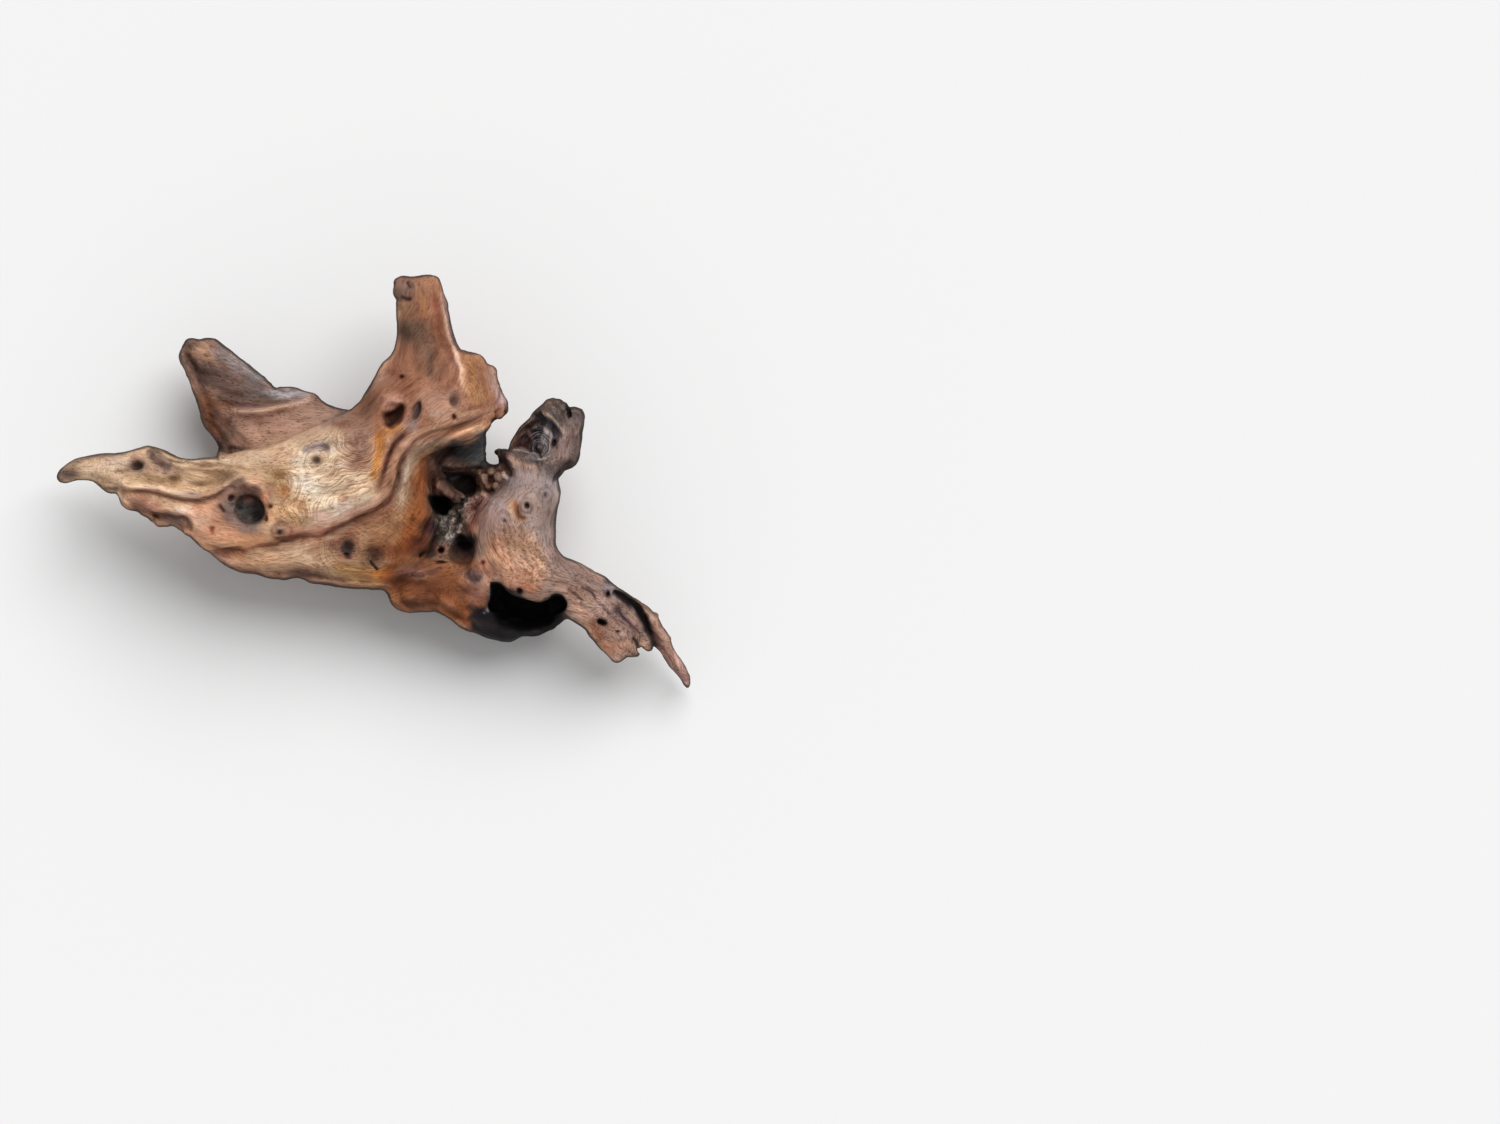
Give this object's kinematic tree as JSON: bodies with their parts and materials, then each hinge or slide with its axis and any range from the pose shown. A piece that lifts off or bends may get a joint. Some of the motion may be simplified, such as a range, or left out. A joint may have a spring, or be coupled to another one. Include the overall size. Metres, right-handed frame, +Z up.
{
  "type": "mopani wood",
  "caption": "Branching piece of weathered hardwood driftwood, with pits, knots, a long ledge and a cave, lying on its belly.",
  "frame": {"origin": "bottom centre of the bounding box, on the surface that the wood rests on", "axes": "+X from the left limb's tip to the tail, +Y to the upper limb's tip, +Z up, out of the surface"},
  "size_m": [0.381, 0.2496, 0.1117],
  "materials": {
    "crown": "sandblasted, matt, cream to orange-brown",
    "left_limb": "sandblasted, matt, cream to tan",
    "back_limb": "weathered, matt, grey-brown to red-brown",
    "upper_limb": "weathered, matt, red-brown",
    "burl": "weathered, matt, pinkish grey",
    "hollow_stub": "decayed, matt, grey-black",
    "lower_lobe": "weathered, matt, orange-brown with a black cave",
    "tail_limb": "weathered, matt, pinkish brown, splintered"
  },
  "bodies": {
    "root": {"crown": "crown", "left_limb": "left_limb", "back_limb": "back_limb", "upper_limb": "upper_limb", "burl": "burl", "hollow_stub": "hollow_stub", "lower_lobe": "lower_lobe", "tail_limb": "tail_limb"}
  },
  "joints": []
}
